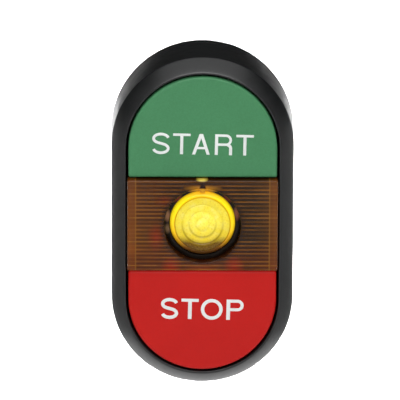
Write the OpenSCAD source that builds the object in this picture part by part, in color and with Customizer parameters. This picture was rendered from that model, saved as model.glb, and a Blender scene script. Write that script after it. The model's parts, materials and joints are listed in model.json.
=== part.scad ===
// Illuminated double pushbutton for a 22 mm panel hole. Its neck holds a normally open
// contact pair, a normally closed pair and a lamp, with quick-connect tabs at the back.
// The shapes are drawn in panel coordinates: +z points from the panel to the operator,
// +y is up and +x is right. in_part_frame() turns them into the part's own frame,
// where the buttons face -Y, +Z is up and the origin is on the neck's axis in the
// panel's front plane.

/* [Bezel] */
// Width of the bezel
bezel_w = 30; // [29:0.5:31]
// Height of the bezel
bezel_h = 55.6; // [54:0.1:58]
// Height of the button faces above the panel
face_height = 14.2; // [14:0.1:15]
// Width of the bezel's rim, seen from the front
rim_w = 2.4; // [2.2:0.1:2.6]

/* [Buttons and lens] */
// Gap between a button and the rim
button_gap = 0.4; // [0.3:0.1:0.5]
// Distance from the middle of the bezel to the straight edge of a button
button_edge = 8; // [7.9:0.1:8.3]
// How far a button goes in
button_travel = 4; // [3:0.1:4]
// How far the lens stands above the button faces
lens_proud = 0.8; // [0.4:0.1:1.2]
// Distance between two ribs of the lens
rib_pitch = 0.68; // [0.6:0.02:0.8]

/* [Legends] */
// Height of a capital letter
letter_h = 3.52; // [3:0.02:4.2]
// Width of a letter's upright strokes
stem_w = 0.64; // [0.5:0.02:0.8]
// Width of a letter's level strokes
bar_w = 0.54; // [0.4:0.02:0.7]
// Tilt of the words, in degrees
legend_tilt = -1.2; // [-2:0.1:2]
// Depth of the moulded letters in the button face
legend_depth = 0.3; // [0.2:0.05:0.5]

/* [Panel fixing] */
// Diameter of the neck that goes through the panel
neck_d = 22; // [21.8:0.1:22.2]
// Thickness of the panel that the nut is set to
panel_t = 4; // [3.8:0.1:5.5]
// Thickness of the sealing gasket
gasket_t = 1; // [0.8:0.1:1.1]
// Number of grip notches round the nut
nut_notches = 12; // [8:1:16]

/* [Contacts] */
// Width of a quick-connect tab
tab_w = 2.8; // [2.4:0.1:2.8]
// Thickness of the contact strips and tabs
strip_t = 0.6; // [0.5:0.1:0.6]

/* [Hidden] */
$fn = 96;
eps = 0.01;

// Colours
black = "#26282a";
rubber_grey = "#3a3a38";
start_green = "#4f8960";
stop_red = "#b82b26";
legend_white = "#eef0ee";
amber = [0.62, 0.32, 0.08, 0.8];
yellow = [0.98, 0.86, 0.15, 0.9];
base_grey = "#84878a";
steel = "#c4c6c8";
brass = "#c2a14d";
copper = "#b9713f";
board_green = "#1f5a3a";

// Bezel and pocket outlines
bezel_r = bezel_w / 2;
straight = bezel_h - bezel_w;
base_flare = 0.15;
pocket_r = bezel_r - rim_w;
ridge_drop = 2.25;
rim_drop = 0.15;
rim_edge_w = 0.25;
rim_bulge_r = 8;
floor_t = 2;
floor_top = gasket_t + floor_t;

// Buttons
button_r = pocket_r - button_gap;
button_wall = 1.2;
button_skirt = button_travel + floor_top + 0.3;
edge_wall_bottom = face_height - 3.4;
edge_round = 0.4;
legend_proud = 0.02;
start_text_y = 13.67;
stop_text_y = -14.54;
start_weight = 0.82;
stop_weight = 1;
overshoot = 0.07;

// Neck
neck_r = neck_d / 2;
neck_bore_r = neck_r - 1.7;
neck_end = -31;
seal_r = neck_r - 1;
seal_top = 0.5;
seal_bottom = -1.5;
thread_top = -3.5;
thread_pitch = 1.5;
thread_depth = 0.3;
thread_turns = 12;

// Plungers: a plate under the button, an arm beside the shroud, a leg in the neck, a pin
plate_z = [face_height - 4.5, face_height - 2.7];
arm_top = face_height - 3.9;
arm_bottom = floor_top + button_travel + 0.2;
arm_outer = 8.8;
arm_reach = 12;
leg_inner = 5.2;
leg_outer_r = neck_bore_r - 0.4;
leg_half_h = 3.4;
leg_end = -12.8;
spring_y = 15.2;
spring_r = 2.65;
spring_wire_r = 0.3;
spring_post_r = 2;
spring_cup_r = 3.4;
spring_top = face_height - 2;

// Shroud, lens and dome
tube_r = 4.6;
tube_bore_r = 3.9;
tube_end = -13.7;
shroud_bottom = face_height - 3.6;
shroud_top = face_height - 1.7;
foot_half_h = 7;
foot_w = 2;
ring_r = 6.2;
ring_bore_r = 5.5;
ring_top = face_height - 1;
dome_seat = shroud_bottom + 0.6;
key_half_w = 0.4;
key_reach = 7.2;
lens_front = face_height + lens_proud;
lens_back = face_height - 1.6;
lens_half_w = pocket_r - 0.25;
lens_half_h = button_edge - 0.25;
lens_hole_r = 6.3;
rib_depth = 0.35;
rib_margin = 1.35;
dome_r = 5.36;
dome_disc_r = 4.5;
dome_shoulder = face_height - 1.15;
dome_rings = [1.1, 2.2, 3.35];
dome_groove = 0.14;

// Washer and nut
washer_t = 1.2;
nut_t = 4;
washer_front = -panel_t;
nut_front = washer_front - washer_t;
nut_r = 14.4;

// Terminal base, its hooks and the strips that go through it
base_front = -27.5;
base_back = -33;
barrier_end = -36;
hook_half_w = 2;
hook_depth = 1.2;
hook_z = [-29.3, -28.1];
strip_half_w = 1;
strip_y = 4.15;
strip_play = 0.05;
tab_half_w = tab_w / 2;
tab_hole_r = 0.55;
tab_end = -38.8;

// Contact mechanism
contact_x = 6.8;
pin_r = 0.8;
collar_r = 1.22;
collar_t = 0.8;
tip_y = 3;
tip_r = 0.7;
tip_t = 0.4;
bridge_t = 0.7;
bridge_half_w = 1.2;
bridge_half_h = 3.85;
touch_gap = 0.05;
small_spring_r = 1.13;
small_wire_r = 0.18;

// Normally open: the bridge waits in front of the fixed contacts
start_bridge_top = -16.8;
start_bridge_travel = 0.6 * button_travel;
start_collar_z = start_bridge_top - bridge_t - touch_gap;
start_contact_z = start_bridge_top - bridge_t - tip_t - start_bridge_travel - touch_gap;

// Normally closed: the bridge rests on the fixed contacts from behind
stop_contact_z = -18.2;
stop_bridge_top = stop_contact_z - touch_gap - tip_t;
stop_lost_motion = 0.25 * button_travel;
stop_shoulder_z = stop_bridge_top + stop_lost_motion + touch_gap;
stop_pin_end = -23.2;

// Lamp, its board and its strips
lamp_r = 3.4;
lamp_nose = -2.5;
lamp_foot = -19.9;
board_half_h = 5.6;
lamp_strip_half_w = 1;
lamp_strip_y = 6.2;

// ---------------------------------------------------------------- helpers

module in_part_frame() {
    rotate([90, 0, 0]) children();
}

// The stop side is the start side turned half a turn about the neck's axis.
module stop_side() {
    rotate([0, 0, 180]) children();
}

module both_ends() {
    children();
    mirror([0, 1, 0]) children();
}

module slab(z0, z1) {
    translate([0, 0, min(z0, z1)]) linear_extrude(abs(z1 - z0)) children();
}

module block(x, y, z) {
    translate([x[0], y[0], z[0]]) cube([x[1] - x[0], y[1] - y[0], z[1] - z[0]]);
}

module post(r, z0, z1, x = 0, y = 0) {
    translate([x, y, min(z0, z1)]) cylinder(r = r, h = abs(z1 - z0));
}

module ring(r_in, r_out, z0, z1) {
    difference() {
        post(r_out, z0, z1);
        post(r_in, min(z0, z1) - 1, max(z0, z1) + 1);
    }
}

function arc(centre, r, from, to, steps) = [
    for (i = [0:steps]) let (a = from + (to - from) * i / steps)
        centre + r * [cos(a), sin(a)]
];

// Two half circles joined by a straight, standing upright
module stadium(r) {
    for (side = [-1, 1]) translate([0, side * straight / 2]) circle(r);
    square([2 * r, straight], center = true);
}

// A solid with that outline whose wall follows a profile of [radius, z] points
module stadium_solid(profile) {
    for (side = [-1, 1]) translate([0, side * straight / 2]) rotate_extrude() polygon(profile);
    rotate([90, 0, 0]) linear_extrude(straight, center = true) {
        polygon(profile);
        mirror([1, 0]) polygon(profile);
    }
}

// The top end of the stadium, above the line y = cut
module button_outline(r, cut) {
    intersection() {
        union() {
            translate([0, straight / 2]) circle(r);
            translate([-r, cut]) square([2 * r, straight / 2 - cut]);
        }
        translate([-r, cut]) square([2 * r, straight / 2 + r - cut]);
    }
}

// A round wire wound along z: a ring of points at each step, and the tube through them
module coil_spring(coil_r, wire_r, z0, z1, turns, per_turn = 10, sides = 6) {
    steps = round(turns * per_turn);
    length = z1 - z0 - 2 * wire_r;
    points = [
        for (i = [0:steps], j = [0:sides - 1]) let (
            a = 360 * turns * i / steps,
            b = 360 * j / sides,
            r = coil_r + wire_r * cos(b)
        ) [r * cos(a), r * sin(a), z0 + wire_r * (1 + sin(b)) + length * i / steps]
    ];
    walls = [
        for (i = [0:steps - 1], j = [0:sides - 1]) let (
            k = (j + 1) % sides,
            here = i * sides,
            next = here + sides
        ) each [[here + j, next + j, next + k], [here + j, next + k, here + k]]
    ];
    first = [for (j = [0:sides - 1]) j];
    last = [for (j = [0:sides - 1]) steps * sides + sides - 1 - j];
    polyhedron(points, concat(walls, [first, last]), convexity = 6);
}

// ---------------------------------------------------------------- letters

// Each word sets $weight, which scales the widths of its strokes.
function stem() = stem_w * $weight;
function level() = bar_w * $weight;

module bar(x0, y0, x1, y1) {
    translate([x0, y0]) square([x1 - x0, y1 - y0]);
}

// A band of even width along a row of points
module ribbon(points, width) {
    last = len(points) - 1;
    normals = [
        for (i = [0:last]) let (
            along = points[min(i + 1, last)] - points[max(i - 1, 0)]
        ) [-along[1], along[0]] / norm(along)
    ];
    left = [for (i = [0:last]) points[i] + normals[i] * width / 2];
    right = [for (i = [last:-1:0]) points[i] - normals[i] * width / 2];
    polygon(concat(left, right));
}

// Two wide loops joined by a sloping straight that touches both
module letter_s(w = 2.92) {
    width = (stem() + level()) / 2;
    half_h = (letter_h - width) / 2 + overshoot;
    loop = [(w - width) / 2, half_h * 0.48];
    middle = half_h - loop[1];
    joint = 180 + asin(loop[1] / middle);
    upper = [
        for (i = [0:12]) let (a = 12 + (joint - 12) * i / 12)
            [loop[0] * cos(a), middle + loop[1] * sin(a)]
    ];
    lower = [for (i = [12:-1:0]) -upper[i]];
    translate([w / 2, letter_h / 2]) ribbon(concat(upper, lower), width);
}

module letter_t(w = 2.88) {
    bar(0, letter_h - level(), w, letter_h);
    bar((w - stem()) / 2, 0, (w + stem()) / 2, letter_h - level() / 2);
}

module letter_a(w = 2.95) {
    apex = stem() * 0.56;
    foot = stem() * 1.04;
    crotch = letter_h - stem() * 1.5;
    polygon([
        [0, 0], [foot, 0], [w / 2, crotch], [w - foot, 0], [w, 0],
        [w / 2 + apex, letter_h], [w / 2 - apex, letter_h]
    ]);
    bar(w * 0.2, letter_h * 0.26, w * 0.8, letter_h * 0.26 + level() * 0.92);
}

// A stem with a round bowl on its upper part, down to y0
module letter_p(w = 2.86, y0 = letter_h * 0.43) {
    r = (letter_h - y0) / 2;
    bar(0, 0, stem(), letter_h);
    difference() {
        union() {
            bar(stem() / 2, y0, w - r, letter_h);
            translate([w - r, y0 + r]) circle(r);
        }
        translate([w - r, y0 + r]) circle(r - level());
        bar(stem(), y0 + level(), w - r, letter_h - level());
    }
}

module letter_r(w = 2.85) {
    y0 = letter_h * 0.44;
    bend = 0.85;
    leg_top = y0 + level() - bend;
    letter_p(w - 0.06, y0);
    difference() {
        translate([w - bend, leg_top]) circle(bend);
        translate([w - bend, leg_top]) circle(bend - stem());
        bar(0, -1, w - bend, letter_h);
        bar(0, -1, w + 1, leg_top);
    }
    bar(w - stem(), 0, w, leg_top + eps);
}

module letter_o(w = 3.62) {
    thickness = (stem() + level()) / 2;
    translate([w / 2, letter_h / 2]) difference() {
        circle(w / 2);
        circle(w / 2 - thickness);
    }
}

// A word of the given width, centred on its place and tilted; $weight reaches its letters
module tilted_word(width, weight) {
    $weight = weight;
    rotate([0, 0, legend_tilt]) translate([-width / 2, -letter_h / 2]) children();
}

module start_word() {
    tilted_word(16.65, start_weight) {
        letter_s();
        translate([3.42, 0]) letter_t();
        translate([6.57, 0]) letter_a();
        translate([10.3, 0]) letter_r();
        translate([13.77, 0]) letter_t();
    }
}

module stop_word() {
    tilted_word(13.7, stop_weight) {
        letter_s();
        translate([3.38, 0]) letter_t();
        translate([6.62, 0]) letter_o();
        translate([10.84, 0]) letter_p();
    }
}

// ---------------------------------------------------------------- operator

// The outside of the bezel: a wall, a gently bulged slope and the rim's inner edge
function rim_profile() = let (
    outer = [bezel_r, face_height - ridge_drop],
    inner = [pocket_r + rim_edge_w, face_height - rim_drop],
    chord = norm(outer - inner),
    back = [outer[1] - inner[1], inner[0] - outer[0]] / chord,
    centre = (outer + inner) / 2 + back * sqrt(pow(rim_bulge_r, 2) - pow(chord / 2, 2)),
    from = atan2(outer[1] - centre[1], outer[0] - centre[0]),
    to = atan2(inner[1] - centre[1], inner[0] - centre[0])
) concat(
    [[0, gasket_t], [bezel_r + base_flare, gasket_t]],
    arc(centre, rim_bulge_r, from, to, 4),
    [[0, face_height - rim_drop]]
);

module bezel() {
    color(black) in_part_frame() difference() {
        stadium_solid(rim_profile());
        slab(gasket_t - 1, face_height + 1) stadium(pocket_r);
    }
}

module operator_body() {
    color(black) in_part_frame() difference() {
        union() {
            slab(gasket_t, floor_top) stadium(pocket_r);
            post(neck_r, neck_end, gasket_t + floor_t / 2);
            both_ends() post(spring_post_r, floor_top - eps, floor_top + 1.4, y = spring_y);
        }
        post(neck_bore_r, neck_end - 1, seal_bottom + eps);
        post(seal_r, seal_bottom, floor_top + 1);
        both_ends() block([-hook_half_w - 0.15, hook_half_w + 0.15],
                          [neck_bore_r - 1, neck_r + 1], [hook_z[0] - 0.2, hook_z[1] + 0.2]);
        for (turn = [0:thread_turns - 1])
            translate([0, 0, thread_top - (turn + 0.5) * thread_pitch])
                rotate_extrude() polygon([
                    [neck_r - thread_depth, 0],
                    [neck_r + eps, thread_pitch * 0.4],
                    [neck_r + eps, -thread_pitch * 0.4]
                ]);
    }
}

module panel_gasket() {
    color(rubber_grey) in_part_frame() difference() {
        slab(0, gasket_t) stadium(bezel_r);
        post(neck_r + 1, -1, gasket_t + 1);
    }
}

module leg_outline(play = 0) {
    intersection() {
        circle(leg_outer_r + play);
        translate([-leg_outer_r - 1, -leg_half_h - play])
            square([leg_outer_r + 1 - leg_inner + play, 2 * (leg_half_h + play)]);
    }
}

module plunger_seal() {
    color(rubber_grey) in_part_frame() difference() {
        post(seal_r, seal_bottom, seal_top);
        post(tube_r + 0.1, seal_bottom - 1, seal_top + 1);
        slab(seal_bottom - 1, seal_top + 1) {
            leg_outline(0.12);
            rotate([0, 0, 180]) leg_outline(0.12);
        }
    }
}

// A button cap, open at the back, with its straight wall cut short for the arm
module button_cap() {
    difference() {
        union() {
            slab(button_skirt, face_height - edge_round) button_outline(button_r, button_edge);
            slab(face_height - edge_round - eps, face_height)
                button_outline(button_r - edge_round / 2, button_edge);
        }
        slab(button_skirt - 1, face_height - button_wall)
            button_outline(button_r - button_wall, button_edge + button_wall);
        block([-button_r, button_r], [button_edge - 1, button_edge + button_wall + eps],
              [button_skirt - 1, edge_wall_bottom]);
    }
}

// The pocket that a word fills in a button's face
module legend_pocket(y) {
    translate([0, y, 0]) slab(face_height - legend_depth, face_height + 1) children();
}

module legend(y) {
    color(legend_white) in_part_frame() translate([0, y, 0])
        slab(face_height - legend_depth, face_height + legend_proud) children();
}

module start_button() {
    color(start_green) in_part_frame() difference() {
        button_cap();
        legend_pocket(start_text_y) start_word();
    }
}

module start_legend() {
    legend(start_text_y) start_word();
}

module stop_button() {
    color(stop_red) in_part_frame() difference() {
        stop_side() button_cap();
        legend_pocket(stop_text_y) stop_word();
    }
}

module stop_legend() {
    legend(stop_text_y) stop_word();
}

// A plunger up to the end of its leg
module plunger() {
    plate_r = button_r - button_wall - 0.2;
    plate_edge = button_edge + button_wall + 0.2;
    lug_half_w = 0.5;
    difference() {
        union() {
            slab(plate_z[0], plate_z[1]) button_outline(plate_r, plate_edge);
            post(spring_cup_r + 0.9, plate_z[0], face_height - button_wall, y = spring_y);
            for (x = [-8, 8])
                block([x - lug_half_w, x + lug_half_w], [11, 17],
                      [plate_z[1] - 1, face_height - button_wall]);
            block([-arm_outer, -leg_inner], [0, arm_reach], [arm_bottom, arm_top]);
            slab(leg_end, arm_top) leg_outline();
        }
        post(spring_cup_r, plate_z[0] - 1, spring_top, y = spring_y);
    }
}

// The pin carries the normally open bridge on a collar.
module start_plunger() {
    collar_end = start_collar_z - collar_t;
    color(black) in_part_frame() {
        plunger();
        post(pin_r, collar_end, leg_end + eps, x = -contact_x);
        post(collar_r, collar_end, start_collar_z, x = -contact_x);
    }
}

// A shoulder pushes the normally closed bridge, and the pin behind it guides the bridge.
module stop_plunger() {
    color(black) in_part_frame() stop_side() {
        plunger();
        post(collar_r, stop_shoulder_z, leg_end + eps, x = -contact_x);
        post(pin_r, stop_pin_end, stop_shoulder_z + eps, x = -contact_x);
    }
}

module return_spring() {
    translate([0, spring_y, 0])
        coil_spring(spring_r, spring_wire_r, floor_top + 0.02, spring_top - 0.02, 6.5);
}

module start_return_spring() {
    color(steel) in_part_frame() return_spring();
}

module stop_return_spring() {
    color(steel) in_part_frame() stop_side() return_spring();
}

module light_shroud() {
    outer = pocket_r - 0.05;
    plate_half = lens_half_h - 0.1;
    color(black) in_part_frame() difference() {
        union() {
            block([-outer, outer], [-plate_half, plate_half], [shroud_bottom, shroud_top]);
            for (x = [-outer, outer - foot_w])
                block([x, x + foot_w], [-foot_half_h, foot_half_h],
                      [floor_top, shroud_bottom + eps]);
            block([-key_half_w, key_half_w], [ring_bore_r, key_reach],
                  [shroud_top - eps, lens_front - 0.7]);
            post(ring_r, shroud_bottom, ring_top);
            post(tube_r, tube_end, shroud_bottom + 0.2);
        }
        post(tube_bore_r, tube_end - 1, shroud_top + 2);
        post(ring_bore_r, dome_seat, lens_front + 1);
    }
}

module indicator_lens() {
    ribs = floor((lens_half_h - 0.5) / rib_pitch);
    rib_half_w = 0.42 * rib_pitch;
    color(amber) in_part_frame() difference() {
        block([-lens_half_w, lens_half_w], [-lens_half_h, lens_half_h],
              [lens_back, lens_front]);
        post(lens_hole_r, lens_back - 1, lens_front + 1);
        block([-key_half_w - 0.1, key_half_w + 0.1], [lens_hole_r - 0.5, key_reach + 0.1],
              [lens_back - 1, lens_front - 0.6]);
        for (i = [-ribs:ribs]) translate([0, i * rib_pitch, lens_back])
            rotate([90, 0, 90])
                linear_extrude(2 * (lens_half_w - rib_margin), center = true)
                    polygon([[-rib_half_w, -eps], [0, rib_depth], [rib_half_w, -eps]]);
    }
}

module lens_dome() {
    base = dome_seat + 0.05;
    shoulder = [dome_disc_r + 0.1, dome_shoulder];
    color(yellow) in_part_frame() difference() {
        rotate_extrude() polygon(concat(
            [[0, base], [dome_r, base]],
            arc(shoulder, dome_r - shoulder[0], 0, 80, 5),
            [[dome_disc_r, face_height - 0.12], [dome_disc_r - 0.15, face_height],
             [0, face_height]]
        ));
        for (r = dome_rings) rotate_extrude() polygon([
            [r - dome_groove, face_height + eps], [r, face_height - dome_groove],
            [r + dome_groove / 3, face_height + eps]
        ]);
        post(dome_disc_r - 1, base - 1, base + 0.9);
    }
}

// ---------------------------------------------------------------- panel fixing

module thrust_washer() {
    color(steel) in_part_frame() ring(neck_r + 0.15, nut_r - 0.2, nut_front, washer_front);
}

module mounting_nut() {
    notch_r = 1.1;
    color(black) in_part_frame() difference() {
        ring(neck_r + 0.08, nut_r, nut_front - nut_t, nut_front);
        for (i = [0:nut_notches - 1]) rotate([0, 0, (i + 0.5) * 360 / nut_notches])
            post(notch_r, nut_front - nut_t - 1, nut_front + 1, x = nut_r + 0.4);
    }
}

// ---------------------------------------------------------------- contacts

// Places a piece on the start side's contact axis
module at_contacts() {
    translate([-contact_x, 0, 0]) children();
}

// The slot in the base that a strip of the given width and place goes through
module strip_slot(half_w, y) {
    both_ends() block([-half_w - strip_play, half_w + strip_play],
                      [y - strip_play, y + strip_t + strip_play],
                      [base_back - 1, base_front + 1]);
}

// The plug that closes the neck: it holds the strips and snaps into the neck's windows
module terminal_base() {
    barrier_t = 0.8;
    barrier_x = 3.5;
    barrier_half_h = 8.4;
    color(base_grey) in_part_frame() difference() {
        union() {
            post(neck_bore_r - 0.1, neck_end - eps, base_front);
            post(neck_r - 0.2, base_back, neck_end);
            both_ends() block([-hook_half_w, hook_half_w],
                              [neck_bore_r - 0.6, neck_bore_r + hook_depth], hook_z);
            at_contacts() both_ends()
                block([-strip_half_w - 0.1, strip_half_w + 0.1], [tip_y - 0.8, strip_y],
                      [base_front - eps, start_contact_z - tip_t - strip_t]);
            for (x = [-barrier_x, barrier_x])
                block([x - barrier_t / 2, x + barrier_t / 2], [-barrier_half_h, barrier_half_h],
                      [barrier_end, base_back + eps]);
        }
        at_contacts() strip_slot(strip_half_w, strip_y);
        stop_side() at_contacts() strip_slot(strip_half_w, strip_y);
        strip_slot(lamp_strip_half_w, lamp_strip_y);
    }
}

// A quick-connect tab with its detent hole, from the base's back face to its tip
module tab(y) {
    chamfer = 0.5;
    hole_z = (base_back + tab_end) / 2;
    translate([0, y + strip_t, 0]) rotate([90, 0, 0]) linear_extrude(strip_t) difference() {
        polygon([
            [-tab_half_w, base_back], [-tab_half_w, tab_end + chamfer],
            [-tab_half_w + chamfer, tab_end], [tab_half_w - chamfer, tab_end],
            [tab_half_w, tab_end + chamfer], [tab_half_w, base_back]
        ]);
        translate([0, hole_z]) circle(tab_hole_r);
    }
}

// The two fixed contacts of one side, each a strip from its tip to its tab. front is the
// level arm's front face, and tip_z is where its silver tip starts and ends.
module fixed_contacts(front, tip_z) {
    at_contacts() both_ends() {
        block([-strip_half_w, strip_half_w], [tip_y - 0.8, strip_y + strip_t],
              [front - strip_t, front]);
        block([-strip_half_w, strip_half_w], [strip_y, strip_y + strip_t],
              [base_back - eps, front]);
        post(tip_r, tip_z[0], tip_z[1], y = tip_y);
        tab(strip_y);
    }
}

// Copper bridge that slides on a plunger's pin, with a tip at each end
module contact_bridge(top, tip_z) {
    at_contacts() difference() {
        union() {
            block([-bridge_half_w, bridge_half_w], [-bridge_half_h, bridge_half_h],
                  [top - bridge_t, top]);
            both_ends() post(tip_r, tip_z[0], tip_z[1], y = tip_y);
        }
        post(pin_r + 0.12, top - 3, top + 3);
    }
}

module small_spring(z0, z1, turns) {
    at_contacts()
        coil_spring(small_spring_r, small_wire_r, z0 + 0.02, z1 - 0.02, turns, 8, 5);
}

// Normally open pair
module start_contact_bridge() {
    back = start_bridge_top - bridge_t;
    color(copper) in_part_frame() contact_bridge(start_bridge_top, [back - tip_t, back + eps]);
}

module start_contact_spring() {
    color(steel) in_part_frame() small_spring(start_bridge_top, leg_end, 4);
}

module start_fixed_contacts() {
    arm = start_contact_z - tip_t;
    color(brass) in_part_frame() fixed_contacts(arm, [arm - eps, start_contact_z]);
}

// Normally closed pair
module stop_contact_bridge() {
    color(copper) in_part_frame() stop_side()
        contact_bridge(stop_bridge_top, [stop_bridge_top - eps, stop_bridge_top + tip_t]);
}

module stop_contact_spring() {
    color(steel) in_part_frame() stop_side()
        small_spring(base_front, stop_bridge_top - bridge_t, 7);
}

module stop_fixed_contacts() {
    arm_back = stop_contact_z + tip_t;
    color(brass) in_part_frame() stop_side()
        fixed_contacts(arm_back + strip_t, [stop_contact_z, arm_back + eps]);
}

// ---------------------------------------------------------------- lamp

// Lamp with a round nose that reaches into the shroud's tube, on a wider foot
module indicator_lamp() {
    color(yellow) in_part_frame() rotate_extrude() polygon(concat(
        [[0, lamp_foot], [lamp_r + 0.25, lamp_foot], [lamp_r + 0.25, lamp_foot + 1.2],
         [lamp_r, lamp_foot + 1.2]],
        arc([0, lamp_nose - lamp_r], lamp_r, 0, 90, 8)
    ));
}

module lamp_circuit_board() {
    board_x = 0.6;
    in_part_frame() {
        color(board_green)
            block([-board_x, board_x], [-board_half_h, board_half_h], [base_front, lamp_foot]);
        color(black) block([board_x, 2], [-3, -1], [-25.4, -22.4]);
        color(brass) block([board_x, 2.4], [1.4, 4], [-26, -22]);
        color(steel) block([board_x, 1.5], [-5, -3.6], [-24.6, -21.8]);
    }
}

// Strips that touch the board's edges and end in the lamp's tabs
module lamp_terminals() {
    foot_z = [-24, -23];
    color(brass) in_part_frame() both_ends() {
        block([-lamp_strip_half_w, lamp_strip_half_w], [lamp_strip_y, lamp_strip_y + strip_t],
              [base_back - eps, foot_z[1]]);
        block([-lamp_strip_half_w, lamp_strip_half_w], [board_half_h, lamp_strip_y + eps], foot_z);
        tab(lamp_strip_y);
    }
}

// ---------------------------------------------------------------- nodes

bezel();
operator_body();
panel_gasket();
plunger_seal();
start_button();
start_legend();
start_plunger();
start_return_spring();
stop_button();
stop_legend();
stop_plunger();
stop_return_spring();
light_shroud();
indicator_lens();
lens_dome();
thrust_washer();
mounting_nut();
terminal_base();
start_contact_bridge();
start_contact_spring();
start_fixed_contacts();
stop_contact_bridge();
stop_contact_spring();
stop_fixed_contacts();
indicator_lamp();
lamp_circuit_board();
lamp_terminals();
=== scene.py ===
import json
import math

import bmesh
import bpy
from mathutils import Matrix, Quaternion, Vector

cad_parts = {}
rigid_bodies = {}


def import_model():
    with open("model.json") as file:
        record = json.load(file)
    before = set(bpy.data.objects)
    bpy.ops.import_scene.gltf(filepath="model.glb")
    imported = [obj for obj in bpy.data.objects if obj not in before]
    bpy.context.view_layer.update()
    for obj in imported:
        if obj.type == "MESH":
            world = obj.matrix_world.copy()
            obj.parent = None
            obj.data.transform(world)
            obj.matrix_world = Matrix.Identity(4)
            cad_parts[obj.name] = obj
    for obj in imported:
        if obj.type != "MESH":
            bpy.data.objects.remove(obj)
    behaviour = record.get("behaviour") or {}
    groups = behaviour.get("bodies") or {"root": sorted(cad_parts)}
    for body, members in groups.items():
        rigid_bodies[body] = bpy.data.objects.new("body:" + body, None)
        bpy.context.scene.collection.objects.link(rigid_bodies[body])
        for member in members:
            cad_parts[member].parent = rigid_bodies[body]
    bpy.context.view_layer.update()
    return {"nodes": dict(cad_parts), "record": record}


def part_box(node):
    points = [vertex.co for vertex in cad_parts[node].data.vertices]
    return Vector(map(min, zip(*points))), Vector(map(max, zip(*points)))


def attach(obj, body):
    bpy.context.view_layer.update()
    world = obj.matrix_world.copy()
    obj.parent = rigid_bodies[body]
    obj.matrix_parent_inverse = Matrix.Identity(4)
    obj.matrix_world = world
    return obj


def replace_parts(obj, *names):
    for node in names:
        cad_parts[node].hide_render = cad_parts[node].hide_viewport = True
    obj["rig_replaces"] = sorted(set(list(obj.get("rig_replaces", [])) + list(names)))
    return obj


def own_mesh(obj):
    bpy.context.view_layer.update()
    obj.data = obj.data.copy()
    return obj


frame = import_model()

# Shapes are drawn in panel coordinates, in millimetres: +z points from the panel to the
# operator, +y is up and +x is right. PANEL turns them into the frame, in metres.
MM = 0.001
PANEL = Matrix(((MM, 0, 0, 0), (0, 0, -MM, 0), (0, MM, 0, 0), (0, 0, 0, 1)))


class Span:
    """A CAD node's box in panel coordinates."""

    def __init__(self, node):
        low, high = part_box(node)
        self.x0, self.x1 = low.x / MM, high.x / MM
        self.y0, self.y1 = low.z / MM, high.z / MM
        self.z0, self.z1 = -high.y / MM, -low.y / MM


# ---------------------------------------------------------------- sizes

bezel_span = Span("bezel")
body_span = Span("operator_body")
start_span = Span("start_button")
lens_span = Span("indicator_lens")
dome_span = Span("lens_dome")

POCKET_R = body_span.x1
BASE_FLARE = 0.15
BEZEL_R = bezel_span.x1 - BASE_FLARE
ARC_Y = bezel_span.y1 - bezel_span.x1
BEZEL_BACK = bezel_span.z0
RIM_TOP = bezel_span.z1
FACE = start_span.z1
RIDGE = FACE - 2.25

BUTTON_R = start_span.x1
BUTTON_EDGE = start_span.y0
BUTTON_SKIRT = start_span.z0
BUTTON_WALL = 1.2
BUTTON_CORNER_R = 0.45
BUTTON_FILLET = 0.4
EDGE_WALL_BOTTOM = FACE - 3.4

LENS_HOLE_R = 6.3
RIB_PITCH = 0.68
RIB_DEPTH = 0.35
RIB_MARGIN = 1.35
KEY_HALF_W = 0.4
KEY_REACH = 7.2

DOME_R = dome_span.x1
DOME_DISC_R = 4.5
DOME_SHOULDER = FACE - 1.15
DOME_RINGS = (1.1, 2.2, 3.35)

shares = {row["joint"]: row["ratio"] for row in frame["record"]["behaviour"]["couplings"]}
PRESS_TRAVEL = next(row["range_m"][1] for row in frame["record"]["behaviour"]["joints"]
                    if row["name"] == "start_press") / MM
START_BRIDGE_SHARE = shares["start_bridge_slide"]
STOP_BRIDGE_SHARE = shares["stop_bridge_slide"]

# Coil springs: middle radius, wire radius and turns.
RETURN_COIL = (2.65, 0.3, 6.5)
START_CONTACT_COIL = (1.13, 0.18, 4)
STOP_CONTACT_COIL = (1.13, 0.18, 7)

# Stage and lights, in metres.
FLOOR_Z = -0.09
FLOOR_LIGHT_Z = 0.7
# Lights over the floor: place (x, y), width, depth, watts to the square metre, spread.
FLOOR_LIGHTS = (
    ((0, 0.38), 0.9, 0.44, 15, 16),
    ((0, 2.4), 3.6, 2.4, 3, 60),
    ((-2.1, -0.4), 1.5, 2.4, 6, 60),
    ((2.1, -0.4), 1.5, 2.4, 6, 60),
    ((-1.7, 1.0), 1.5, 1.8, 9, 60),
    ((1.7, 1.0), 1.5, 1.8, 9, 60),
)

HALF_CIRCLE_STEPS = 64
LATHE_STEPS = 128


# ---------------------------------------------------------------- mesh helpers

def arc(cx, cy, r, start, end, steps):
    """Points on a circle from one angle to another, in degrees."""
    angles = [math.radians(start + (end - start) * i / steps) for i in range(steps + 1)]
    return [(cx + r * math.cos(a), cy + r * math.sin(a)) for a in angles]


def add_piece(name, bm, smooth_angle=35):
    """Turns a bmesh in panel coordinates into an object in the frame."""
    bmesh.ops.recalc_face_normals(bm, faces=bm.faces)
    mesh = bpy.data.meshes.new(name)
    bm.to_mesh(mesh)
    bm.free()
    mesh.transform(PANEL)
    piece = bpy.data.objects.new(name, mesh)
    bpy.context.scene.collection.objects.link(piece)
    shade(piece, smooth_angle)
    return piece


def shade(piece, angle):
    """Smooth shading, with edges sharper than the angle kept crisp."""
    mesh = piece.data
    mesh.shade_smooth()
    bm = bmesh.new()
    bm.from_mesh(mesh)
    limit = math.radians(angle)
    for edge in bm.edges:
        edge.smooth = edge.is_manifold and edge.calc_face_angle(0) < limit
    bm.to_mesh(mesh)
    bm.free()


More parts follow.
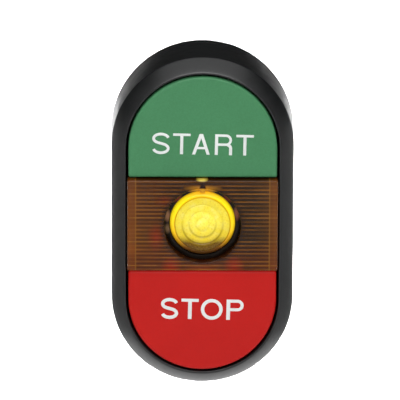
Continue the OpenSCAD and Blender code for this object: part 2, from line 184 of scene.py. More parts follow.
def bridge(bm, first, second):
    """Quads between two closed loops of the same length."""
    count = len(first)
    for i in range(count):
        j = (i + 1) % count
        bm.faces.new((first[i], first[j], second[j], second[i]))


def loft(bm, outlines, closed=False):
    """Joins (outline, z) pairs, each outline a list of (x, y), and caps the ends."""
    loops = [[bm.verts.new((x, y, z)) for x, y in points] for points, z in outlines]
    for first, second in zip(loops, loops[1:]):
        bridge(bm, first, second)
    if closed:
        bridge(bm, loops[-1], loops[0])
    else:
        bm.faces.new(loops[0][::-1])
        bm.faces.new(loops[-1])


def lathe(bm, profile, steps=LATHE_STEPS, closed=False):
    """Turns (r, z) points about the neck's axis. Points with no radius become one vertex."""
    rings = []
    for r, z in profile:
        if r < 1e-6:
            rings.append([bm.verts.new((0, 0, z))])
        else:
            turn = [2 * math.pi * i / steps for i in range(steps)]
            rings.append([bm.verts.new((r * math.cos(a), r * math.sin(a), z)) for a in turn])
    pairs = list(zip(rings, rings[1:]))
    if closed:
        pairs.append((rings[-1], rings[0]))
    for first, second in pairs:
        if len(first) == 1 or len(second) == 1:
            tip, ring = (first[0], second) if len(first) == 1 else (second[0], first)
            for i in range(steps):
                bm.faces.new((tip, ring[i], ring[(i + 1) % steps]))
        else:
            bridge(bm, first, second)


def cut(piece, cutter):
    """Takes the cutter's shape out of the piece."""
    modifier = piece.modifiers.new("cut", "BOOLEAN")
    modifier.operation = "DIFFERENCE"
    modifier.solver = "EXACT"
    modifier.object = cutter
    apply_modifiers(piece)
    bpy.data.objects.remove(cutter)


def apply_modifiers(piece):
    """Bakes the piece's modifiers into its mesh."""
    bpy.context.view_layer.update()
    graph = bpy.context.evaluated_depsgraph_get()
    mesh = bpy.data.meshes.new_from_object(piece.evaluated_get(graph))
    piece.modifiers.clear()
    piece.data = mesh


def stand_in(piece, node, material):
    """The piece replaces a CAD node, rides on its body and takes a material."""
    piece.data.materials.clear()
    piece.data.materials.append(material)
    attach(piece, body_names[node])
    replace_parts(piece, node)
    return piece


body_names = {
    node: body
    for body, members in frame["record"]["behaviour"]["bodies"].items()
    for node in members
}
slot_names = {row["node"]: row["material_slot"] for row in frame["record"]["subparts"]}


# ---------------------------------------------------------------- materials

class Nodes:
    """A short way to build a material's node tree round one Principled shader."""

    def __init__(self, name, colour, roughness, **sockets):
        self.material = bpy.data.materials.new(name)
        self.material.use_nodes = True
        self.tree = self.material.node_tree
        self.shader = self.tree.nodes["Principled BSDF"]
        self.shader.inputs["Base Color"].default_value = (*colour, 1)
        self.shader.inputs["Roughness"].default_value = roughness
        for socket, value in sockets.items():
            self.shader.inputs[socket.replace("_", " ")].default_value = value
        self.position = self.add("ShaderNodeTexCoord").outputs["Object"]

    def add(self, kind, **values):
        node = self.tree.nodes.new(kind)
        for key, value in values.items():
            if hasattr(node, key):
                setattr(node, key, value)
            else:
                node.inputs[key.replace("_", " ")].default_value = value
        return node

    def link(self, output, target):
        self.tree.links.new(output, target)
        return target.node

    def place(self):
        """The panel coordinates of a point, in millimetres: across, up and out."""
        split = self.add("ShaderNodeSeparateXYZ")
        self.link(self.position, split.inputs["Vector"])
        x, y, z = split.outputs
        return (self.maths("DIVIDE", x, MM), self.maths("DIVIDE", z, MM),
                self.maths("DIVIDE", y, -MM))

    def spot(self, x, y, reach_x, reach_y):
        """1 at a place on the face, falling to 0 at its reach."""
        mapping = self.add("ShaderNodeMapping")
        mapping.inputs["Location"].default_value = (-x / reach_x, 0, -y / reach_y)
        mapping.inputs["Scale"].default_value = (1 / (reach_x * MM), 0, 1 / (reach_y * MM))
        self.link(self.position, mapping.inputs["Vector"])
        node = self.add("ShaderNodeTexGradient", gradient_type="SPHERICAL")
        self.link(mapping.outputs["Vector"], node.inputs["Vector"])
        return node.outputs["Fac"]

    def band(self, value, period, phase, half_width):
        """1 on every line a period apart, falling to 0 at half_width beside it."""
        away = self.maths("PINGPONG", self.maths("SUBTRACT", value, phase), period / 2)
        return self.maths("SUBTRACT", 1, self.maths("DIVIDE", away, half_width), clamp=True)

    def share(self, value, low, high):
        """The value's place between low and high, from 0 to 1."""
        node = self.add("ShaderNodeMapRange", clamp=True)
        self.link(value, node.inputs["Value"])
        node.inputs["From Min"].default_value = low
        node.inputs["From Max"].default_value = high
        return node.outputs["Result"]

    def noise(self, size_mm, detail=2.0, roughness=0.5, stretch=(1, 1, 1)):
        """Noise whose features are about size_mm across."""
        mapping = self.add("ShaderNodeMapping")
        mapping.inputs["Scale"].default_value = stretch
        self.link(self.position, mapping.inputs["Vector"])
        node = self.add("ShaderNodeTexNoise", Scale=1 / (size_mm * MM), Detail=detail,
                        Roughness=roughness)
        self.link(mapping.outputs["Vector"], node.inputs["Vector"])
        return node.outputs["Fac"]

    def ramp(self, value, stops):
        """A colour or grey ramp over (position, colour) stops."""
        node = self.add("ShaderNodeValToRGB")
        elements = node.color_ramp.elements
        while len(elements) < len(stops):
            elements.new(0.5)
        for element, (place, colour) in zip(elements, stops):
            element.position = place
            element.color = (*colour, 1) if isinstance(colour, tuple) else (colour,) * 3 + (1,)
        self.link(value, node.inputs["Fac"])
        return node.outputs["Color"]

    def maths(self, operation, a, b=None, clamp=False):
        node = self.add("ShaderNodeMath", operation=operation, use_clamp=clamp)
        for value, target in ((a, node.inputs[0]), (b, node.inputs[1])):
            if isinstance(value, (int, float)):
                target.default_value = value
            elif value is not None:
                self.link(value, target)
        return node.outputs[0]

    def mix(self, share, a, b, blend="MIX"):
        """Mixes two colours, each a tuple or an output."""
        node = self.add("ShaderNodeMix", data_type="RGBA", blend_type=blend)
        for value, target in ((share, node.inputs[0]), (a, node.inputs[6]), (b, node.inputs[7])):
            if isinstance(value, tuple):
                target.default_value = (*value, 1)
            elif isinstance(value, (int, float)):
                target.default_value = value
            else:
                self.link(value, target)
        return node.outputs[2]

    def bump(self, height, distance_mm, strength=1.0):
        node = self.add("ShaderNodeBump", Strength=strength, Distance=distance_mm * MM)
        self.link(height, node.inputs["Height"])
        previous = self.shader.inputs["Normal"]
        if previous.is_linked:
            self.link(previous.links[0].from_socket, node.inputs["Normal"])
        self.link(node.outputs["Normal"], previous)

    def colour(self, output):
        self.link(output, self.shader.inputs["Base Color"])

    def roughness(self, output):
        self.link(output, self.shader.inputs["Roughness"])


def scaled(colour, factor):
    """A colour made lighter or darker, no lighter than white."""
    return tuple(min(1.0, c * factor) for c in colour)


def srgb(text):
    """A screen colour such as "6c3e1c" as the linear colour that a shader takes."""
    shares = [int(text[i:i + 2], 16) / 255 for i in (0, 2, 4)]
    return tuple(c / 12.92 if c <= 0.04045 else ((c + 0.055) / 1.055) ** 2.4 for c in shares)


def moulded_plastic(name, colour, roughness=0.4, grain_mm=0.3, grain_depth=0.012,
                    variation=0.06, speckle=0.07, **sockets):
    """Satin plastic: fine spark-eroded grain, slow colour drift and uneven gloss."""
    m = Nodes(name, colour, roughness, **sockets)
    drift = m.noise(9, detail=3)
    slow = m.ramp(drift, [(0.3, scaled(colour, 1 - variation)),
                          (0.7, scaled(colour, 1 + variation))])
    grain = m.noise(grain_mm, detail=3, roughness=0.65)
    fine = m.ramp(grain, [(0.35, 1 - speckle), (0.65, 1.0)])
    m.colour(m.mix(1.0, slow, fine, "MULTIPLY"))
    gloss = m.noise(1.6, detail=4)
    m.roughness(m.ramp(gloss, [(0.25, roughness - 0.05), (0.75, roughness + 0.06)]))
    m.bump(grain, grain_depth, 0.6)
    return m.material


def rubber(name, colour):
    """Matt rubber with cloudy colour and a fine uneven skin."""
    m = Nodes(name, colour, 0.75)
    cloud = m.noise(3, detail=4)
    m.colour(m.ramp(cloud, [(0.3, scaled(colour, 0.8)), (0.7, scaled(colour, 1.25))]))
    m.bump(m.noise(0.25, detail=4), 0.02, 0.7)
    return m.material


def plated_metal(name, colour, roughness=0.3, stretch=(1, 1, 8)):
    """Metal with fine drawn or rolled lines and cloudy plating."""
    m = Nodes(name, colour, roughness, Metallic=1.0)
    cloud = m.noise(2.5, detail=4)
    m.colour(m.ramp(cloud, [(0.3, scaled(colour, 0.85)), (0.7, scaled(colour, 1.1))]))
    lines = m.noise(0.5, detail=3, stretch=stretch)
    m.roughness(m.ramp(lines, [(0.25, roughness - 0.07), (0.75, roughness + 0.1)]))
    m.bump(lines, 0.006, 0.4)
    return m.material


# What a screen colour of the lens is multiplied by, because its gloss and the light that it
# lets through add to it.
LENS_TONE = (0.72, 0.60, 0.22)
# A band's period in millimetres that is longer than the part, so that the band shows once.
ONCE = 40
# Painted red where the red button shows through the clear lens: place, reach and strength.
RED_PATCHES = (
    ((-5.1, -7), (1.9, 1.8), 1.1),
    ((5.2, -7), (1.9, 1.8), 1.1),
    ((-7.6, -2), (1.6, 2.6), 0.6),
    ((-6.2, 4.2), (2.0, 1.1), 0.4),
)
# What the shroud's ring reflects: place, reach and colour.
SHROUD_PATCHES = (
    ((0, 5.85), (3.6, 0.8), "d09422"),
    ((-4.2, 4.2), (1.2, 0.9), "5c2412"),
    ((4.2, 4.2), (1.2, 0.9), "5c2412"),
    ((5.6, 1.6), (0.7, 1.4), "7a4a38"),
    ((-5.8, 1.3), (0.6, 1.3), "8a6448"),
    ((-5.8, -1.0), (0.6, 1), "70583c"),
)
# How much painted shade each ring groove of DOME_RINGS gets towards the foot of the dome's face.
RING_WEIGHTS = (0.35, 0.75, 0.95)
# Strength of the dome's painted glow.
DOME_GLOW = 0.35


def toned(text):
    """A screen colour of the lens as the colour that its shader takes."""
    return tuple(c * t for c, t in zip(srgb(text), LENS_TONE))


def amber_lens_material():
    """Amber plastic over ribs. The light and shade that show in a clear lens are painted where
    they lie: painted light and shade across the lens, painted highlights on the ribs' crests, on
    every sixth rib and where the ribbed field ends, painted shade between the ribs, around the
    hole and in the key slot, the red button's colour painted where it shows through, and a
    painted glow above the hole and at the top edge."""
    m = Nodes("amber_lens", toned("6c3e1c"), 0.07, Transmission_Weight=0.25, IOR=1.49,
              Specular_IOR_Level=0.1)
    x, y, _ = m.place()
    # Painted light: the lens is lighter towards its left and right ends and darker in the
    # middle.
    across = m.ramp(m.share(x, lens_span.x0, lens_span.x1), [
        (0.02, toned("8a5228")), (0.10, toned("724620")), (0.18, toned("6a3d1b")),
        (0.30, toned("4a2c16")), (0.70, toned("3a2412")), (0.84, toned("43301c")),
        (0.93, toned("5f4226")), (0.98, toned("80502c"))])
    # Painted red showing through from the red button below: redder towards the bottom.
    lower = m.share(y, -2.5, lens_span.y0)
    tinted = m.mix(m.maths("MULTIPLY", lower, 0.7), across, toned("7e3a1c"))
    # Painted shade: darker towards the top edge.
    upper = m.share(y, 5.6, lens_span.y1)
    tinted = m.mix(m.maths("MULTIPLY", upper, 0.45), tinted, toned("4c2c1a"))
    # Painted patches of the red button's colour seen through the lens.
    for place, reach, strength in RED_PATCHES:
        patch = m.spot(*place, *reach)
        tinted = m.mix(m.maths("MULTIPLY", patch, strength), tinted, toned("b42e1c"))
    # Painted orange-red glow at the middle of the lower edge, over the red button.
    middle = m.spot(0, -7.2, 3.6, 1.9)
    tinted = m.mix(m.maths("MULTIPLY", middle, 1.2, clamp=True), tinted, toned("a04c28"))
    streaks = m.noise(1.6, detail=1, roughness=0.4, stretch=(0.3, 1, 0.8))
    shades = m.ramp(streaks, [(0.3, 0.82), (0.5, 1.0), (0.72, 1.3)])
    tinted = m.mix(0.8, tinted, shades, "MULTIPLY")

    ribbed = m.maths("LESS_THAN", m.maths("ABSOLUTE", x), lens_span.x1 - RIB_MARGIN)
    # Painted highlights on the ribs' crests and painted shade in the valleys between them.
    crest = m.band(y, RIB_PITCH, 0, RIB_PITCH * 0.22)
    valley = m.band(y, RIB_PITCH, RIB_PITCH / 2, RIB_PITCH * 0.3)
    uneven = m.ramp(m.noise(3.2, detail=3, stretch=(0.5, 1, 3)), [(0.38, 0.2), (0.62, 0.85)])
    ribs = m.mix(m.maths("MULTIPLY", m.maths("MULTIPLY", valley, ribbed), 0.7), tinted,
                 toned("2c1606"))
    ribs = m.mix(m.maths("MULTIPLY", m.maths("MULTIPLY", crest, ribbed), uneven), ribs,
                 toned("b47a3c"))
    bordered = m.maths("SUBTRACT", 1, ribbed)
    ribs = m.mix(m.maths("MULTIPLY", m.maths("MULTIPLY", crest, bordered), 0.3), ribs,
                 toned("b87a40"))
    # Painted highlight lines on every sixth rib.
    long_line = m.band(y, RIB_PITCH * 6, RIB_PITCH * 2, 0.12)
    broken = m.ramp(m.noise(2.5, detail=2, stretch=(1, 1, 0.2)), [(0.4, 0.2), (0.6, 0.7)])
    ribs = m.mix(m.maths("MULTIPLY", long_line, broken), ribs, toned("cc9260"))
    # Painted highlight line where the ribbed field ends.
    rib_edge_highlight = m.band(m.maths("ABSOLUTE", x), ONCE, lens_span.x1 - RIB_MARGIN, 0.16)
    ribs = m.mix(m.maths("MULTIPLY", rib_edge_highlight, 0.55), ribs, toned("b88446"))
    # Painted shade around the dome's hole.
    shade_r = LENS_HOLE_R * 1.14
    hollow = m.spot(0, 0, shade_r, shade_r)
    ribs = m.mix(m.maths("MULTIPLY", hollow, 7, clamp=True), ribs, toned("2c1708"))
    # Painted glow on the lens above the hole.
    hole_glow = m.spot(0, LENS_HOLE_R + 0.1, 3.4, 0.6)
    ribs = m.mix(m.maths("MULTIPLY", hole_glow, 1.2, clamp=True), ribs, srgb("c08018"))
    # Painted shade in the key slot.
    key = m.maths("MULTIPLY", m.band(x, ONCE, 0, KEY_HALF_W * 1.5),
                  m.band(y, ONCE, KEY_REACH - 1, 1.1))
    ribs = m.mix(m.maths("MULTIPLY", key, 4, clamp=True), ribs, toned("2a1208"))
    # Painted glow at the lens's top edge, above the key slot.
    edge_glow = m.spot(-0.1, lens_span.y1 + 0.15, 1.15, 0.45)
    ribs = m.mix(m.maths("MULTIPLY", edge_glow, 1.8, clamp=True), ribs, srgb("ffe060"))
    m.colour(ribs)
    m.bump(m.noise(2.2, detail=1), 0.01, 0.3)
    return m.material


def yellow_dome_material():
    """Yellow lens that looks lit: pale ringed disc and golden shoulder, both with painted shade
    that makes them browner below, and a weak painted glow, strongest on the disc's middle and
    the shoulder's upper half."""
    m = Nodes("yellow_lens", srgb("f6e650"), 0.22, IOR=1.49, Transmission_Weight=0.1,
              Coat_Weight=0.08, Coat_Roughness=0.05, Specular_IOR_Level=0.12)
    x, y, z = m.place()
    r = m.maths("SQRT", m.maths("ADD", m.maths("MULTIPLY", x, x), m.maths("MULTIPLY", y, y)))
    sparkle = m.noise(0.24, detail=3, roughness=0.7)
    cloud = m.noise(1.3, detail=3)
    disc = m.ramp(cloud, [(0.3, srgb("fdee4e")), (0.5, srgb("fff668")), (0.7, srgb("fffc92"))])
    disc = m.mix(m.maths("MULTIPLY", m.share(r, 1.2, DOME_DISC_R), 0.7), disc, srgb("f6da2c"))
    # Painted shade: the disc darker towards the bottom.
    disc = m.mix(m.maths("MULTIPLY", m.share(y, 0.5, -3.6), 0.8), disc, srgb("dcb81c"))
    disc = m.mix(0.45, disc, m.ramp(sparkle, [(0.32, srgb("d0a40c")), (0.46, srgb("fffff0"))]),
                 "MULTIPLY")
    # Painted shade in the ring grooves, stronger towards the bottom.
    below = m.share(y, 1.0, -3.4)
    for ring, weight in zip(DOME_RINGS, RING_WEIGHTS):
        line = m.band(r, ONCE, ring, 0.26)
        strength = m.maths("ADD", 0.05, m.maths("MULTIPLY", below, weight))
        disc = m.mix(m.maths("MULTIPLY", line, strength), disc, srgb("8a6c0c"))
    # Painted shade: a brown crescent at the foot of the disc.
    foot = m.maths("MULTIPLY", m.share(r, 2.7, 3.7), m.share(y, -1.9, -3.2))
    disc = m.mix(foot, disc, m.ramp(sparkle, [(0.35, srgb("50340c")), (0.6, srgb("7c5a1c"))]))
    # Painted light and shade: the shoulder dark brown at the bottom and bright gold at the top.
    shoulder = m.ramp(m.share(y, -DOME_R, DOME_R), [
        (0.04, srgb("5a3814")), (0.12, srgb("7c4e1c")), (0.22, srgb("d89c1c")),
        (0.38, srgb("ffd024")), (0.75, srgb("ffe61e")), (0.90, srgb("ffe01e")),
        (0.97, srgb("ffc828"))])
    # Painted shade: the shoulder darker deeper in the hole.
    side = m.ramp(m.share(z, dome_span.z0 + 0.9, DOME_SHOULDER + 0.3), [
        (0.0, 0.5), (0.5, 0.85), (0.8, 1.0)])
    shoulder = m.mix(1.0, shoulder, side, "MULTIPLY")
    # Painted shade: a dark line where the shoulder meets the disc.
    edge = m.band(r, ONCE, DOME_DISC_R + 0.06, 0.2)
    shoulder = m.mix(m.maths("MULTIPLY", edge, 0.7), shoulder, srgb("b07810"))
    outside = m.share(r, DOME_DISC_R - 0.03, DOME_DISC_R + 0.03)
    m.colour(m.mix(outside, disc, shoulder))
    # Painted glow on the shoulder's upper half and the disc's middle.
    lit = m.maths("MULTIPLY", outside, m.share(y, -4.6, 0))
    glow = m.mix(m.share(r, DOME_DISC_R, 0.6), (0, 0, 0), srgb("a08c10"))
    m.link(m.mix(lit, glow, shoulder), m.shader.inputs["Emission Color"])
    m.shader.inputs["Emission Strength"].default_value = DOME_GLOW
    m.bump(sparkle, 0.02, 0.4)
    return m.material


def shroud_material():
    """Black plastic, with what its ring reflects of the lens and dome painted where it lies."""
    m = Nodes("shroud_black", srgb("120d09"), 0.3, Specular_IOR_Level=0.15)
    grain = m.noise(0.3, detail=3)
    tone = m.ramp(grain, [(0.35, srgb("0e0a07")), (0.65, srgb("1a120c"))])
    for place, reach, colour in SHROUD_PATCHES:
        patch = m.spot(*place, *reach)
        tone = m.mix(m.maths("MULTIPLY", patch, 1.5, clamp=True), tone, srgb(colour))
    m.colour(tone)
    m.bump(grain, 0.01, 0.5)
    return m.material


BLACK = srgb("131415")
GREEN = srgb("458358")
RED = srgb("bb120c")

black_plastic = moulded_plastic("black_plastic", BLACK, 0.34, grain_mm=0.26, grain_depth=0.006,
                                variation=0.12, speckle=0.25)
button_green = moulded_plastic("button_green", GREEN, 0.45, variation=0.03, speckle=0.1,
                               Specular_IOR_Level=0.25)
button_red = moulded_plastic("button_red", RED, 0.45, variation=0.03, speckle=0.05,
                             Specular_IOR_Level=0.22)
legend_white = moulded_plastic("legend_white", srgb("dfe2e0"), 0.5, variation=0.02, speckle=0.02,
                               Specular_IOR_Level=0.25)
shroud_black = shroud_material()
amber = amber_lens_material()
yellow = yellow_dome_material()
materials = {
    "black_plastic": black_plastic,
    "gasket_rubber": rubber("gasket_rubber", (0.045, 0.045, 0.042)),
    "green_plastic": button_green,
    "red_plastic": button_red,
    "white_plastic": legend_white,
    "amber_lens": amber,
    "yellow_lens": yellow,
    "lamp_lens": moulded_plastic("lamp_lens", (0.85, 0.7, 0.25), 0.15),
    "spring_steel": plated_metal("spring_steel", (0.55, 0.56, 0.58), 0.25),
    "zinc_steel": plated_metal("zinc_steel", (0.6, 0.61, 0.62), 0.32),
    "grey_base_plastic": moulded_plastic("grey_base_plastic", (0.23, 0.24, 0.25)),
    "contact_copper": plated_metal("contact_copper", (0.6, 0.27, 0.14), 0.3),
    "terminal_brass": plated_metal("terminal_brass", (0.62, 0.44, 0.18), 0.3),
    "circuit_board": moulded_plastic("circuit_board", (0.015, 0.1, 0.045), 0.3),
}
own_materials = {"light_shroud": shroud_black}


# ---------------------------------------------------------------- bezel

def stadium(r):
    """Outline of two half circles joined by straights, standing upright."""
    top = arc(0, ARC_Y, r, 0, 180, HALF_CIRCLE_STEPS)
    bottom = arc(0, -ARC_Y, r, 180, 360, HALF_CIRCLE_STEPS)
    return top + bottom


def bezel_profile():
    """Section of the bezel as (r, z): wall, ridge, bulged slope, rim edge and pocket wall."""
    edge_r = 0.12
    ridge_r = 0.35
    bulge_r = 8
    outer = Vector((BEZEL_R, RIDGE))
    inner = Vector((POCKET_R + 0.25, RIM_TOP))
    chord = (outer - inner).length
    middle = (outer + inner) / 2
    across = Vector((outer.y - inner.y, inner.x - outer.x)) / chord
    centre = middle + across * math.sqrt(bulge_r ** 2 - (chord / 2) ** 2)
    start = math.degrees(math.atan2(outer.y - centre.y, outer.x - centre.x))
    end = math.degrees(math.atan2(inner.y - centre.y, inner.x - centre.x))
    slope = arc(centre.x, centre.y, bulge_r, start + 2.5, end, 10)
    ridge = arc(BEZEL_R - ridge_r, RIDGE - ridge_r * 0.4, ridge_r, 0, start, 4)
    foot = arc(BEZEL_R + BASE_FLARE - edge_r, BEZEL_BACK + edge_r, edge_r, -90, 0, 4)
    rim = arc(POCKET_R + edge_r, RIM_TOP - edge_r, edge_r, 90, 180, 4)
    return [(POCKET_R, BEZEL_BACK), *foot, *ridge, *slope, *rim]


def make_bezel():
    bm = bmesh.new()
    loft(bm, [(stadium(r), z) for r, z in bezel_profile()], closed=True)
    piece = add_piece("bezel_shell", bm, 40)
    stand_in(piece, "bezel", black_plastic)


# ---------------------------------------------------------------- buttons

def button_outline(inset):
    """The cap's outline drawn in by inset: an arc, a straight edge and two round corners."""
    corner = max(BUTTON_CORNER_R - inset, 0.02)
    r = BUTTON_R - inset
    edge = BUTTON_EDGE + inset
    right = arc(r - corner, edge + corner, corner, -90, 0, 6)
    top = arc(0, ARC_Y, r, 0, 180, HALF_CIRCLE_STEPS)
    left = arc(-r + corner, edge + corner, corner, 180, 270, 6)
    return right + top + left


def make_button(name, node, material, side):
    """A cap: its face with a soft edge, its wall, and its hollow back."""
    outside = [(button_outline(0), BUTTON_SKIRT)]
    for depth, height in arc(BUTTON_FILLET, FACE - BUTTON_FILLET, BUTTON_FILLET, 180, 90, 6):
        outside.append((button_outline(depth), height))
    inside = [
        (button_outline(BUTTON_WALL), FACE - BUTTON_WALL),
        (button_outline(BUTTON_WALL), BUTTON_SKIRT),
    ]
    bm = bmesh.new()
    loops = [[bm.verts.new((x, y, z)) for x, y in points] for points, z in outside]
    for first, second in zip(loops, loops[1:]):
        bridge(bm, first, second)
    bm.faces.new(loops[-1])
    roof, skirt = [[bm.verts.new((x, y, z)) for x, y in points] for points, z in inside]
    bm.faces.new(roof)
    bridge(bm, roof, skirt)
    bridge(bm, skirt, loops[0])
    half_turn = Matrix.Rotation(0 if side > 0 else math.pi, 3, "Z")
    bmesh.ops.rotate(bm, verts=bm.verts, matrix=half_turn)
    piece = add_piece(name, bm, 40)
    notch = bmesh.new()
    notch_size = (4 * BUTTON_R, 2 * (BUTTON_WALL + 0.52), 10)
    notch_place = (0, side * (BUTTON_EDGE - 0.5), EDGE_WALL_BOTTOM - notch_size[2] / 2)
    bmesh.ops.create_cube(notch, size=1, matrix=Matrix.Translation(notch_place)
                          @ Matrix.Diagonal((*notch_size, 1)))
    cut(piece, add_piece("notch", notch))
    shade(piece, 40)
    stand_in(piece, node, material)


# ---------------------------------------------------------------- lens and dome

def make_lens():
    """Amber plate: rounded front edges, level ribs on the back, a round hole and a key slot."""
    w, h = lens_span.x1, lens_span.y1
    front, back = lens_span.z1, lens_span.z0
    fillet = 0.3
    ribs = int((h - 0.5) / RIB_PITCH)
    section = [(h, back), *arc(h - fillet, front - fillet, fillet, 0, 90, 5),
               *arc(-h + fillet, front - fillet, fillet, 90, 180, 5), (-h, back)]
    half = 0.42 * RIB_PITCH
    teeth = []
    for i in range(-ribs, ribs + 1):
        y = i * RIB_PITCH
        teeth += [(y - half, 0), (y, RIB_DEPTH), (y + half, 0)]
    ribbed = section + [(y, back + depth) for y, depth in teeth]
    flat = section + [(y, back) for y, _ in teeth]
    inner_w = w - RIB_MARGIN
    bm = bmesh.new()

    def ring_at(x, points, drop=0.0):
        return [bm.verts.new((x, y * (1 - drop / h), min(z, front - drop))) for y, z in points]

    rings = [ring_at(-w + fillet * (1 - math.cos(math.radians(a))), flat,
                     fillet * (1 - math.sin(math.radians(a)))) for a in range(0, 91, 18)]
    rings += [ring_at(-inner_w, flat), ring_at(-inner_w + 0.02, ribbed),
              ring_at(inner_w - 0.02, ribbed), ring_at(inner_w, flat)]
    rings += [ring_at(w - fillet * (1 - math.cos(math.radians(a))), flat,
                      fillet * (1 - math.sin(math.radians(a)))) for a in range(90, -1, -18)]
    for first, second in zip(rings, rings[1:]):
        bridge(bm, first, second)
    bm.faces.new(rings[0])
    bm.faces.new(rings[-1][::-1])
    piece = add_piece("lens_plate", bm, 30)

    hole = bmesh.new()
    lip = 0.18
    lathe(hole, [(0, back - 1), (LENS_HOLE_R, back - 1), (LENS_HOLE_R, front - lip),
                 *arc(LENS_HOLE_R + lip, front - lip, lip, 180, 90, 4),
                 (LENS_HOLE_R + lip, front + 1), (0, front + 1)])
    cut(piece, add_piece("hole", hole))
    slot = bmesh.new()
    reach = KEY_REACH + 0.1
    slot_size = (2 * KEY_HALF_W + 0.2, reach - LENS_HOLE_R + 0.5, front - back + 0.4)
    slot_place = (0, (reach + LENS_HOLE_R - 0.5) / 2, (back + front) / 2 - 0.8)
    bmesh.ops.create_cube(slot, size=1, matrix=Matrix.Translation(slot_place)
                          @ Matrix.Diagonal((*slot_size, 1)))
    cut(piece, add_piece("slot", slot))
    shade(piece, 30)
    # The lens is mostly opaque, and its shadow would darken the top of the dome.
    piece.visible_shadow = False
    stand_in(piece, "indicator_lens", amber)


def make_dome():
    """Round lens: a rounded shoulder, a flat disc with rings cut in it, hollow behind."""
    base = dome_span.z0
    front = dome_span.z1
    shoulder_r = DOME_R - DOME_DISC_R - 0.1
    disc = [(DOME_DISC_R, front - 0.14), *arc(DOME_DISC_R - 0.12, front - 0.12, 0.12, 0, 90, 4)]
    for r in reversed(DOME_RINGS):
        disc += [(r + 0.12, front), (r + 0.02, front - 0.08), (r - 0.02, front - 0.1),
                 (r - 0.14, front)]
    profile = [
        (0, base + 0.9), (DOME_DISC_R - 1, base + 0.9), (DOME_DISC_R - 1, base),
        (DOME_R - 0.1, base), (DOME_R, base + 0.1),
        *arc(DOME_DISC_R + 0.1, DOME_SHOULDER, shoulder_r, 0, 85, 10),
        *disc, (0, front),
    ]
    bm = bmesh.new()
    lathe(bm, profile)
    stand_in(add_piece("dome", bm, 40), "lens_dome", yellow)


# ---------------------------------------------------------------- springs

def coil(name, node, coil_r, wire_r, turns, joint, squeeze):
    """A compression spring with closed ends; its joint and squeeze are not used."""
    span = Span(node)
    x, y = (span.x0 + span.x1) / 2, (span.y0 + span.y1) / 2
    z0, z1 = span.z0, span.z1
    per_turn, sides = 36, 10
    steps = int(turns * per_turn)
    length = z1 - z0 - 2 * wire_r
    closed = 0.75
    flat_rise = 2 * wire_r * closed
    bm = bmesh.new()
    rings = []
    for i in range(steps + 1):
        turn = turns * i / steps
        if turn < closed:
            rise = 2 * wire_r * turn
        elif turn > turns - closed:
            rise = length - 2 * wire_r * (turns - turn)
        else:
            rise = flat_rise + (length - 2 * flat_rise) * (turn - closed) / (turns - 2 * closed)
        a = 2 * math.pi * turn
        ring = []
        for j in range(sides):
            b = 2 * math.pi * j / sides
            r = coil_r + wire_r * math.cos(b)
            ring.append(bm.verts.new((x + r * math.cos(a), y + r * math.sin(a),
                                      z0 + wire_r + rise + wire_r * math.sin(b))))
        rings.append(ring)
    for first, second in zip(rings, rings[1:]):
        bridge(bm, first, second)
    bm.faces.new(rings[0][::-1])
    bm.faces.new(rings[-1])
    piece = stand_in(add_piece(name, bm, 60), node, materials["spring_steel"])
    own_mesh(piece)


# ---------------------------------------------------------------- other CAD nodes

def refine(node, bevel_mm=0.12, angle=30):
    """A copy of a CAD node with softened edges and a finished material."""
    source = frame["nodes"][node]
    piece = bpy.data.objects.new(f"{node}_part", source.data.copy())
    bpy.context.scene.collection.objects.link(piece)
    bm = bmesh.new()
    bm.from_mesh(piece.data)
    bmesh.ops.remove_doubles(bm, verts=bm.verts, dist=0.002 * MM)
    bmesh.ops.dissolve_limit(bm, angle_limit=math.radians(0.5), verts=bm.verts, edges=bm.edges)
    bm.to_mesh(piece.data)
    bm.free()
    modifier = piece.modifiers.new("soft_edges", "BEVEL")
    modifier.width = bevel_mm * MM
    modifier.segments = 2
    modifier.limit_method = "ANGLE"
    modifier.angle_limit = math.radians(angle)
    modifier.use_clamp_overlap = True
    apply_modifiers(piece)
    shade(piece, angle)
    slot = slot_names[node]
    return stand_in(piece, node, own_materials.get(node, materials[slot]))


make_bezel()
make_button("start_cap", "start_button", button_green, 1)
make_button("stop_cap", "stop_button", button_red, -1)
make_lens()
make_dome()

coil("start_push_coil", "start_return_spring", *RETURN_COIL, "start_press", PRESS_TRAVEL)
coil("stop_push_coil", "stop_return_spring", *RETURN_COIL, "stop_press", PRESS_TRAVEL)
coil("start_contact_coil", "start_contact_spring", *START_CONTACT_COIL, "start_press",
     PRESS_TRAVEL * (1 - START_BRIDGE_SHARE))
coil("stop_contact_coil", "stop_contact_spring", *STOP_CONTACT_COIL, "stop_press",
     PRESS_TRAVEL * STOP_BRIDGE_SHARE)

stood_for = {n for o in bpy.data.objects for n in o.get("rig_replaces", [])}
small = {"start_legend": 0.05, "stop_legend": 0.05, "start_contact_bridge": 0.06,
         "stop_contact_bridge": 0.06, "lamp_circuit_board": 0.05, "start_fixed_contacts": 0.06,
         "stop_fixed_contacts": 0.06, "lamp_terminals": 0.06}
for node in sorted(frame["nodes"]):
    if node not in stood_for:
        refine(node, small.get(node, 0.12))


# ---------------------------------------------------------------- stage, light and camera

def make_floor():
    """A sheet of plain pale paper below the part."""
    bpy.ops.mesh.primitive_plane_add(size=6, location=(0, 0, FLOOR_Z))
    floor = bpy.context.object
    floor.name = "floor"
    m = Nodes("floor_paper", (0.9, 0.9, 0.9), 0.85)
    m.colour(m.ramp(m.noise(40, detail=2), [(0.3, 0.88), (0.7, 0.92)]))
    floor.data.materials.append(m.material)


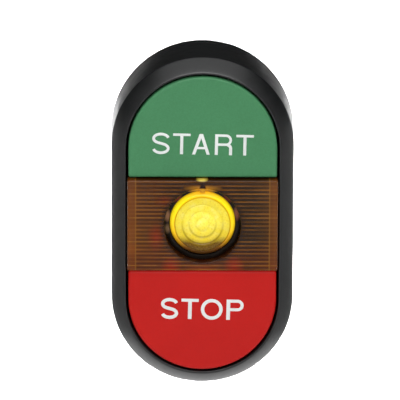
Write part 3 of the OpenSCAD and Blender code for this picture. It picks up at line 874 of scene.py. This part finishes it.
def softbox(name, location, target, width, height, watts, spread=180):
    """A rectangular light aimed at a target; spread is the angle that its light stays in."""
    light = bpy.data.lights.new(name, "AREA")
    light.shape = "RECTANGLE"
    light.size, light.size_y = width, height
    light.energy = watts
    light.spread = math.radians(spread)
    lamp = bpy.data.objects.new(name, light)
    bpy.context.scene.collection.objects.link(lamp)
    lamp.location = location
    lamp.rotation_euler = (Vector(target) - Vector(location)).to_track_quat("-Z", "Y").to_euler()


def make_camera():
    """The photograph's view: from slightly above, through a long lens."""
    azimuth, elevation = math.radians(-0.4), math.radians(15.8)
    distance = 0.83
    aim = PANEL @ Vector((-0.43, 4.2, FACE))
    back = Vector((math.sin(azimuth) * math.cos(elevation),
                   -math.cos(azimuth) * math.cos(elevation), math.sin(elevation)))
    camera = bpy.data.cameras.new("camera")
    camera.lens = 455
    camera.sensor_width = 36
    camera.dof.use_dof = False
    view = bpy.data.objects.new("camera", camera)
    bpy.context.scene.collection.objects.link(view)
    view.location = aim + back * distance
    roll = Quaternion((0, 0, 1), math.radians(0.22))
    view.rotation_euler = ((-back).to_track_quat("-Z", "Y") @ roll).to_euler()
    bpy.context.scene.camera = view


make_floor()
softbox("overhead", (0, -0.25, 0.9), (0, -0.1, 0), 1.4, 1.2, 7)
softbox("front_top", (0, -0.9, 0.62), (0, 0, 0), 0.9, 0.5, 8)
for place, width, depth, brightness, spread in FLOOR_LIGHTS:
    softbox("floor_light", (*place, FLOOR_LIGHT_Z), (*place, 0), width, depth,
            brightness * width * depth, spread=spread)
softbox("underneath", (0, 0.04, FLOOR_Z + 0.002), (0, 0.04, 0), 0.16, 0.12, 0.1)
softbox("left", (-0.7, -0.45, 0.35), (0, 0, 0), 0.4, 0.6, 0.3)
softbox("right", (0.7, -0.45, 0.35), (0, 0, 0), 0.4, 0.6, 0.3)
world = bpy.data.worlds.new("world")
world.use_nodes = True
world.node_tree.nodes["Background"].inputs["Color"].default_value = (0.03, 0.03, 0.03, 1)
bpy.context.scene.world = world
bpy.context.scene.view_settings.view_transform = "Standard"
make_camera()
